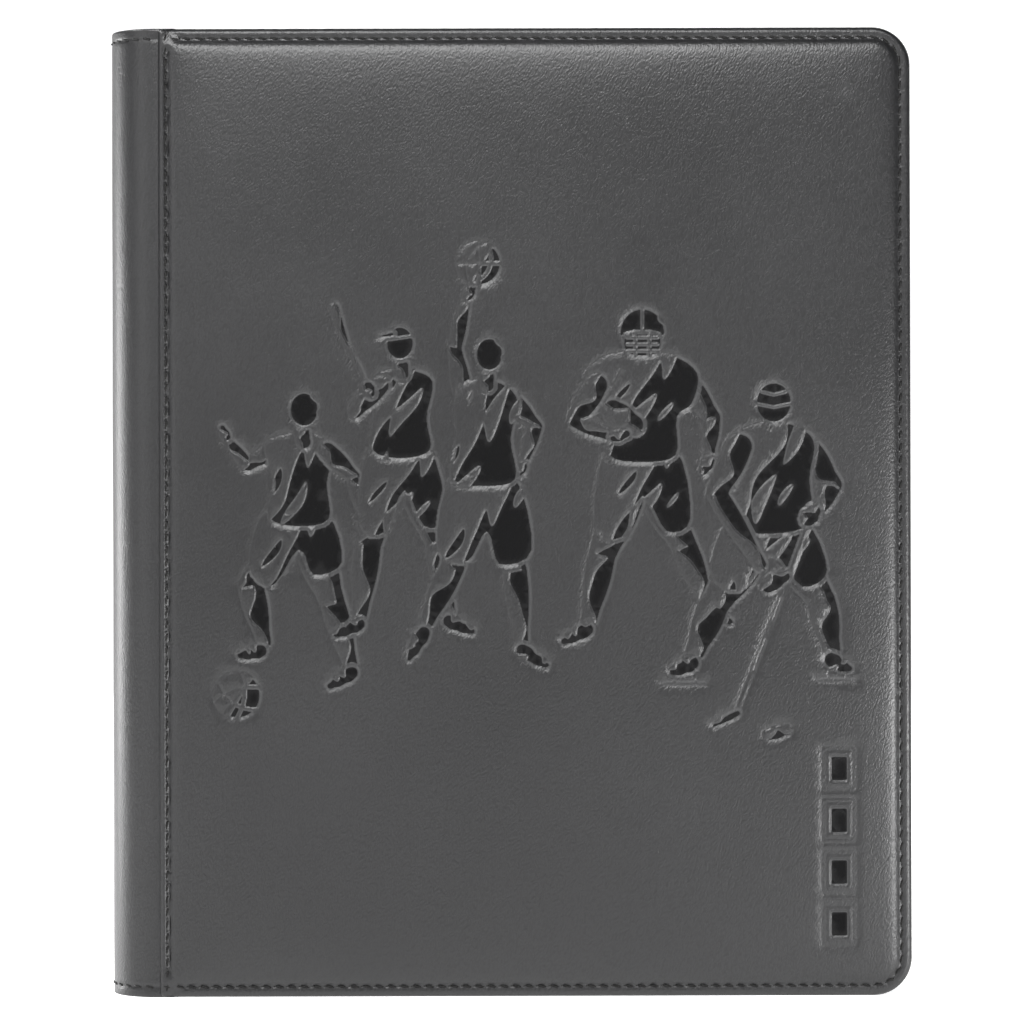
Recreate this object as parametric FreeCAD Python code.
import FreeCAD, Part
import math
import os

# Zip-around trading card binder, standing on its bottom edges.
# +X points to the fore-edge, -X to the spine, -Y out of the front cover, +Z up.
# The origin is at the middle of the base. All sizes are in millimetres.
#
# The case is laid out in section coordinates: u runs from the outermost line of the spine
# to the fore-edge, v from the outer face of the back cover to that of the front cover.
# The depth over both covers follows from the pages and the layers of the covers.

# ---- Overall sizes ----
binder_height = 330.0
binder_width = 273.5
corner_radius = 13.0         # outer corners of the covers

# ---- Layers of a cover ----
leather = 0.8
pad_foam = 2.6               # how far the padded field stands out of the stitched rim
board = 2.0
lining = 0.8
wrap = 1.2                   # leather of the spine with its cloth backing
edge_wrap = 1.0              # leather turned round the edge of the board
pad_slope = 2.4              # run-out of the padded field towards the stitches

# ---- Seam between the front panel and the spine leather ----
spine_radius = 17.2          # depth of the round back, from its outermost line to the seam lap
lap_width = 3.0              # folded edge of the panel that laps the spine leather
lap_height = 0.8

# ---- Stitching ----
stitch_inset = 3.6           # stitch line inside the edge of the cover
thread = 0.7
thread_height = 0.35

# ---- Soft gutters that the covers fold on ----
hinge_u = 6.0
fold_depth = 0.4             # fold line below the outer face of the leather
hinge_clear = 1.6            # leather left out round each fold line
board_margin = 2.2           # spine board clear of the fold lines

# ---- Spine filling ----
spine_board = 1.5
binding_face_u = 8.0
binding_plate = 1.0
stub_end_u = 12.0
stub_thickness = 0.5

# ---- Pages ----
page_count = 20
page_pitch = 1.3
page_thickness = 0.6
page_block_gap = 0.8         # room between the pages and each cover
page_start_u = 19.0
page_top_gap = 5.0           # page clear of the zip tape at top and bottom
page_fore_gap = 6.0          # page clear of the zip tape at the fore-edge
film_thickness = 0.2

# ---- Zip ----
zip_recess = 6.5             # middle of the tape below the edge of the covers
tape = 0.7
coil_height = 2.6            # across the tape
coil_width = 1.75            # one half of the coil
coil_gap = 0.3               # between the two halves
slider_u = 40.0              # middle of the parked slider
slider_length = 12.0
slider_mouth_width = 11.0
slider_tail_width = 8.2
flange = 1.0
flange_clear = 0.3           # flange to coil
post_length = 2.0
post_width = 2.4
stop_length = 2.2
stop_grip = 1.4              # stop beyond the coil, over the tape
stop_gap = 4.0

# ---- Slider bail and pull tab ----
bail_thickness = 1.6
bail_length = 6.4
bail_bar = 1.0
pull_bar = 1.1               # diameter of the pull's cross bar
pull_thickness = 1.2
pull_clear = 0.3
pull_eye = 5.0               # from the cross bar to the solid part of the pull
pull_length = 24.0
pull_width = 7.0
pull_tip_width = 5.0

# ---- Values that follow ----
cover_thickness = leather + pad_foam + board + lining
binder_depth = 2 * (cover_thickness + page_block_gap) + page_count * page_pitch
rim_v = binder_depth - pad_foam                    # outer face of the front cover's rim
inner_v = binder_depth - cover_thickness           # inner face of the front cover
middle_v = binder_depth / 2
seam_u = spine_radius + lap_width
spine_half_depth = middle_v - pad_foam
fold_share = (spine_radius - hinge_u) / spine_radius
hinge_v = middle_v + fold_depth - spine_half_depth * math.sqrt(1 - fold_share ** 2)
tape_z = binder_height - zip_recess                # middle of the tape on the top run
page_inset = zip_recess + tape / 2 + page_top_gap
page_end_u = binder_width - zip_recess - tape / 2 - page_fore_gap
front_hinge_v = binder_depth - hinge_v


def at(u, v, z):
    """Section coordinates to the model's frame."""
    return FreeCAD.Vector(u - binder_width / 2, binder_depth / 2 - v, z)


def block(u0, u1, v0, v1, z0, z1):
    """A box between two corners given in section coordinates."""
    return Part.makeBox(u1 - u0, v1 - v0, z1 - z0, at(u0, v1, z0))


def panel(u0, u1, z0, z1, radius, v0, v1):
    """A flat panel with rounded fore-edge corners, from depth v0 to depth v1."""
    cut = radius * (1 - math.sqrt(0.5))

    def p(u, z):
        return at(u, v0, z)

    edges = [
        Part.LineSegment(p(u0, z0), p(u1 - radius, z0)),
        Part.Arc(p(u1 - radius, z0), p(u1 - cut, z0 + cut), p(u1, z0 + radius)),
        Part.LineSegment(p(u1, z0 + radius), p(u1, z1 - radius)),
        Part.Arc(p(u1, z1 - radius), p(u1 - cut, z1 - cut), p(u1 - radius, z1)),
        Part.LineSegment(p(u1 - radius, z1), p(u0, z1)),
        Part.LineSegment(p(u0, z1), p(u0, z0)),
    ]
    face = Part.Face(Part.Wire([edge.toShape() for edge in edges]))
    return face.extrude(FreeCAD.Vector(0, v0 - v1, 0))


def inset_panel(u0, inset, v0, v1):
    """A panel set in from the cover's top, fore and bottom edges by one distance."""
    radius = max(corner_radius - inset, 0.5)
    return panel(u0, binder_width - inset, inset, binder_height - inset, radius, v0, v1)


def edge_band(u0, inset, width, v0, v1):
    """A band that follows the top, fore and bottom edges, its middle at the inset."""
    outer = inset_panel(u0, inset - width / 2, v0, v1)
    inner = inset_panel(u0 - 1, inset + width / 2, v0 - 1, v1 + 1)
    return outer.cut(inner)


def tapered_pad(u0, inset, v0, v1):
    """The padded field: a panel that narrows from its base at v0 to its face at v1."""
    sections = []
    for v, extra in ((v0, 0.0), (v1, pad_slope)):
        z0 = inset + extra
        u1 = binder_width - z0
        radius = max(corner_radius - inset, 2.0)
        base = panel(u0 + extra, u1, z0, binder_height - z0, radius, v, v + 1)
        plane_y = binder_depth / 2 - v
        face = [f for f in base.Faces if abs(f.CenterOfMass.y - plane_y) < 1e-6][0]
        sections.append(face.OuterWire)
    return Part.makeLoft(sections, True, True)


def round_back(inset, z0, z1):
    """The half-oval column of the spine, its surface set in from the leather's outer face."""
    centre = at(spine_radius, middle_v, z0)
    across = FreeCAD.Vector(spine_radius - inset, 0, 0)
    deep = FreeCAD.Vector(0, spine_half_depth - inset, 0)
    if deep.Length > across.Length:
        oval = Part.Ellipse(centre + deep, centre + across, centre)
    else:
        oval = Part.Ellipse(centre + across, centre + deep, centre)
    face = Part.Face(Part.Wire([oval.toShape()]))
    return face.extrude(FreeCAD.Vector(0, 0, z1 - z0))


def round_layer(outer_inset, inner_inset, z0, z1):
    """One curved layer of the round back."""
    return round_back(outer_inset, z0, z1).cut(round_back(inner_inset, z0 - 1, z1 + 1))


def to_back(shape):
    """The back cover's copy of a front cover piece."""
    return shape.mirror(FreeCAD.Vector(0, 0, 0), FreeCAD.Vector(0, 1, 0))


def fold_line(v):
    """The room left round a fold line."""
    centre = at(hinge_u, v, -1)
    return Part.makeCylinder(hinge_clear, binder_height + 2, centre)


# ---- Front cover pieces; the back cover's are their mirror images ----

def cover_board():
    return inset_panel(seam_u + edge_wrap, edge_wrap, inner_v + lining, inner_v + lining + board)


def cover_lining():
    return inset_panel(seam_u + edge_wrap, edge_wrap, inner_v, inner_v + lining)


def foam_inset():
    return stitch_inset + thread + leather


def cover_foam():
    start = seam_u + thread + leather
    return tapered_pad(start, foam_inset(), rim_v - leather, binder_depth - leather)


def cover_skin(foam):
    """Leather panel: flat stitched rim, padded field and the folded lap at the seam."""
    rim = inset_panel(seam_u, 0, inner_v, rim_v)
    field = tapered_pad(seam_u + thread, foam_inset() - leather, rim_v - leather, binder_depth)
    lap = block(spine_radius, seam_u + thread, rim_v, rim_v + lap_height, 0, binder_height)
    hollow = inset_panel(seam_u + edge_wrap, edge_wrap, inner_v - 1, rim_v - leather)
    return rim.fuse([field, lap]).cut(hollow).cut(foam).removeSplitter()


def wrap_flap():
    """Spine leather between the fold line and the seam, lapped by the panel."""
    curved = round_layer(0, wrap, 0, binder_height)
    side = block(hinge_u, spine_radius, middle_v, binder_depth, -1, binder_height + 1)
    flat = block(spine_radius, seam_u, rim_v - wrap, rim_v, 0, binder_height)
    return curved.common(side).fuse(flat).cut(fold_line(front_hinge_v)).removeSplitter()


def end_threads(part_of_section):
    """Threads across the spine leather at its top and bottom ends."""
    threads = []
    for z in (stitch_inset, binder_height - stitch_inset):
        layer = round_layer(-thread_height, 0, z - thread / 2, z + thread / 2)
        threads.append(layer.common(part_of_section))
    return Part.makeCompound([solid for t in threads for solid in t.Solids])


def edge_thread():
    return edge_band(seam_u + 2 * thread, stitch_inset, thread, rim_v, rim_v + thread_height)


def seam_thread():
    top = rim_v + lap_height
    low, high = thread, binder_height - thread
    return block(seam_u - thread, seam_u, top, top + thread_height, low, high)


def zip_tape():
    start = seam_u + edge_wrap
    coil_start = middle_v + coil_gap / 2 + coil_width
    return edge_band(start, zip_recess, tape, coil_start, inner_v)


def zip_coil(first_u):
    """One half of the coil, from the bottom stop round to first_u on the top run."""
    start = slider_u - slider_length / 2 + post_length + coil_gap
    near = middle_v + coil_gap / 2
    coil = edge_band(start, zip_recess, coil_height, near, near + coil_width)
    return coil.cut(block(0, first_u, 0, binder_depth, binder_height / 2, binder_height))


def top_stop(tape_wall):
    """Metal stop crimped on the edge of the tape, beside the slider's mouth."""
    end = slider_u - slider_length / 2 - stop_gap
    near = middle_v + coil_gap / 2
    half = coil_height / 2
    deep = near + coil_width + stop_grip
    return block(end - stop_length, end, near, deep, tape_z - half, tape_z + half).cut(tape_wall)


front_tape = zip_tape()
front_foam = cover_foam()
cover_pieces = {
    "skin": cover_skin(front_foam),
    "foam_pad": front_foam,
    "board": cover_board(),
    "lining": cover_lining(),
    "wrap_flap": wrap_flap(),
    "edge_thread": edge_thread(),
    "seam_thread": seam_thread(),
    "zip_tape": front_tape,
    "top_stop": top_stop(front_tape),
}
flap_section = block(hinge_u + hinge_clear, spine_radius, middle_v, binder_depth + 1,
                     -1, binder_height + 1)
cover_pieces["flap_threads"] = end_threads(flap_section)

nodes = {}
for name, shape in cover_pieces.items():
    nodes["front_" + name] = shape
    nodes["back_" + name] = to_back(shape)

# The front half of the coil stops short of the parked slider, so that the cover can open past it.
nodes["front_zip_coil"] = zip_coil(slider_u + slider_length / 2 + 2 * coil_gap)
nodes["back_zip_coil"] = to_back(zip_coil(slider_u - slider_length / 2 + post_length + coil_gap))


def bottom_stop():
    """Metal box that closes the start of the zip, on the back half of the tape."""
    end = slider_u - slider_length / 2 + post_length
    half = coil_height / 2
    near = middle_v - coil_gap / 2
    deep = near - coil_width - stop_grip
    box = block(end - stop_length, end, deep, near, zip_recess - half, zip_recess + half)
    return box.cut(to_back(front_tape))


nodes["zip_bottom_stop"] = bottom_stop()


# ---- Spine ----

def spine_wrap():
    between = block(-1, spine_radius, hinge_v, front_hinge_v, -1, binder_height + 1)
    column = round_layer(0, wrap, 0, binder_height).common(between)
    return column.cut(fold_line(hinge_v)).cut(fold_line(front_hinge_v))


def spine_stiffener():
    low, high = edge_wrap, binder_height - edge_wrap
    layer = round_layer(wrap, wrap + spine_board, low, high)
    near, deep = hinge_v + board_margin, front_hinge_v - board_margin
    face = binding_face_u - binding_plate
    return layer.common(block(-1, face, near, deep, 0, binder_height))


def spine_core():
    """Filling that gives the spine its round back and carries the binding strip."""
    low, high = edge_wrap, binder_height - edge_wrap
    near, deep = hinge_v + board_margin, front_hinge_v - board_margin
    face = binding_face_u - binding_plate
    column = round_back(wrap + spine_board, low, high)
    return column.common(block(0, face, near, deep, 0, binder_height))


def page_v(number):
    """Depth of the middle of a page, counted from the back cover."""
    return middle_v + (number - (page_count + 1) / 2) * page_pitch


def sheet(u0, u1, v, thickness, z0, z1):
    """A thin upright sheet, its middle at depth v."""
    return block(u0, u1, v - thickness / 2, v + thickness / 2, z0, z1)


page_low = page_inset
page_high = binder_height - page_inset
page_numbers = range(1, page_count + 1)


def binding_strip():
    """Plate across the spine with one welded stub for each page."""
    near = page_v(1) - stub_thickness / 2
    deep = page_v(page_count) + stub_thickness / 2
    face = binding_face_u - binding_plate
    plate = block(face, binding_face_u, near, deep, page_low, page_high)
    stubs = [sheet(face, stub_end_u, page_v(n), stub_thickness, page_low, page_high)
             for n in page_numbers]
    return plate.fuse(stubs).removeSplitter()


def hinge_films():
    """The flexible margin of each page, between its stub and its pockets."""
    films = [sheet(stub_end_u, page_start_u, page_v(n), film_thickness, page_low, page_high)
             for n in page_numbers]
    return Part.makeCompound(films)


spine_section = block(-1, spine_radius, hinge_v + hinge_clear, front_hinge_v - hinge_clear,
                      -1, binder_height + 1)
nodes["spine_wrap"] = spine_wrap()
nodes["spine_board"] = spine_stiffener()
nodes["spine_core"] = spine_core()
nodes["spine_end_threads"] = end_threads(spine_section)
nodes["page_binding_strip"] = binding_strip()
nodes["page_hinge_films"] = hinge_films()

# ---- Pages ----
for n in page_numbers:
    nodes["page_%02d" % n] = sheet(page_start_u, page_end_u, page_v(n), page_thickness,
                                   page_low, page_high)


# ---- Zip slider ----
flange_low = tape_z + coil_height / 2 + flange_clear      # underside of the outer flange
flange_top = flange_low + flange
hinge_z = flange_top + pull_clear + pull_thickness / 2    # axis of the pull's cross bar


def flange_plate(z):
    """One flange of the slider, wide at the mouth and narrower at the tail."""
    half = slider_length / 2
    nose = 1.5
    corners = [
        (-half, slider_mouth_width / 2 - nose), (-half + nose, slider_mouth_width / 2),
        (0, slider_mouth_width / 2), (half - nose, slider_tail_width / 2),
        (half, slider_tail_width / 2 - nose),
    ]
    corners += [(u, -v) for u, v in reversed(corners)]
    points = [at(slider_u + u, middle_v + v, z) for u, v in corners]
    face = Part.Face(Part.makePolygon(points + points[:1]))
    return face.extrude(FreeCAD.Vector(0, 0, flange))


def slider_body():
    half = coil_height / 2 + flange_clear
    mouth = slider_u - slider_length / 2
    post = block(mouth, mouth + post_length, middle_v - post_width / 2, middle_v + post_width / 2,
                 tape_z - half, tape_z + half)
    return flange_plate(flange_low).fuse([flange_plate(tape_z - half - flange), post])


def slider_bail():
    """Arch on the outer flange that the pull's cross bar goes through."""
    window_half = pull_bar / 2 + pull_clear
    top = hinge_z + window_half + bail_bar
    v0, v1 = middle_v - bail_thickness / 2, middle_v + bail_thickness / 2
    arch = block(slider_u - bail_length / 2, slider_u + bail_length / 2, v0, v1, flange_top, top)
    corners = [e for e in arch.Edges if e.BoundBox.ZMin > top - 1e-6 and e.BoundBox.YLength > 1]
    arch = arch.makeFillet(min(1.2, bail_length / 4), corners)
    window = block(slider_u - window_half, slider_u + window_half, v0 - 1, v1 + 1,
                   hinge_z - window_half, hinge_z + window_half)
    return arch.cut(window)


def pull_tab():
    """Pull tab, lying flat towards the fore-edge, with its cross bar in the bail."""
    z0, z1 = hinge_z - pull_thickness / 2, hinge_z + pull_thickness / 2
    outline = [
        (0, pull_width / 2), (pull_eye + 2, pull_width / 2),
        (pull_length - 2, pull_tip_width / 2), (pull_length, pull_tip_width / 2 - 1.5),
    ]
    outline += [(u, -v) for u, v in reversed(outline)]
    points = [at(slider_u + u, middle_v + v, z0) for u, v in outline]
    plate = Part.Face(Part.makePolygon(points + points[:1])).extrude(FreeCAD.Vector(0, 0, z1 - z0))
    eye_half = bail_thickness / 2 + pull_clear
    eye = block(slider_u - 1, slider_u + pull_eye, middle_v - eye_half, middle_v + eye_half,
                z0 - 1, z1 + 1)
    bar_start = at(slider_u, middle_v + pull_width / 2, hinge_z)
    bar = Part.makeCylinder(pull_bar / 2, pull_width, bar_start, FreeCAD.Vector(0, 1, 0))
    return plate.cut(eye).fuse(bar).removeSplitter()


nodes["slider_body"] = slider_body()
nodes["slider_bail"] = slider_bail()
nodes["pull_tab"] = pull_tab()

os.makedirs("parts", exist_ok=True)
for name, shape in nodes.items():
    shape.exportStep("parts/" + name + ".step")
